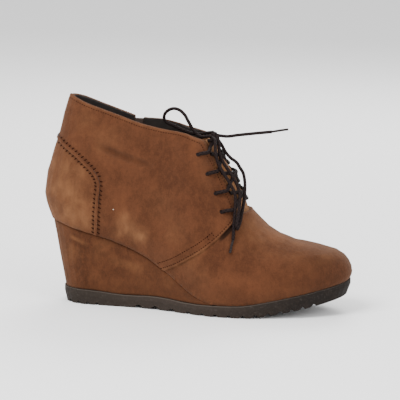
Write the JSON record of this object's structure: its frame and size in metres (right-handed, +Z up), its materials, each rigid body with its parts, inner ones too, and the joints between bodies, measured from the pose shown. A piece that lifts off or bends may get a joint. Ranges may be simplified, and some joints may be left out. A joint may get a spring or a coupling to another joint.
{
  "type": "wedge ankle boot",
  "caption": "Right suede lace-up ankle boot on a covered wedge, with a ripple-tread outsole, lapped quarters, tongue, counter seam, tied round lace and an inner side zip whose pull tab swings.",
  "frame": {"origin": "on the floor, under the centre of the heel", "axes": "+X from heel to toe, +Y to the inner side of the foot, +Z up"},
  "size_m": [0.2663, 0.0932, 0.1785],
  "materials": {
    "suede": "brushed suede with a short nap",
    "outsole_rubber": "matte moulded rubber",
    "tongue_suede": "lighter tan suede",
    "lining": "smooth dark lining",
    "lace": "round waxed lace",
    "zip_metal": "nickel-plated zip"
  },
  "bodies": {
    "root": {"outsole": "outsole_rubber", "wedge": "suede", "upper": "suede", "tongue": "tongue_suede", "insole": "lining", "zip_chain": "zip_metal", "zip_slider": "zip_metal", "lace_cross_1": "lace", "lace_cross_2": "lace", "lace_cross_3": "lace", "lace_top": "lace", "lace_knot": "lace", "lace_loop_back": "lace", "lace_loop_front": "lace", "lace_end_down": "lace", "lace_end_out": "lace", "lace_tip_down": "lace", "lace_tip_out": "lace"},
    "zip_pull": {"zip_pull": "zip_metal"}
  },
  "joints": [
    {"name": "zip_pull_hinge", "type": "hinge", "parent": "root", "child": "zip_pull", "pos_m": [0.03002, 0.02295, 0.15068], "axis": [1, -0.0067, 0], "range_deg": [0, 150]}
  ]
}
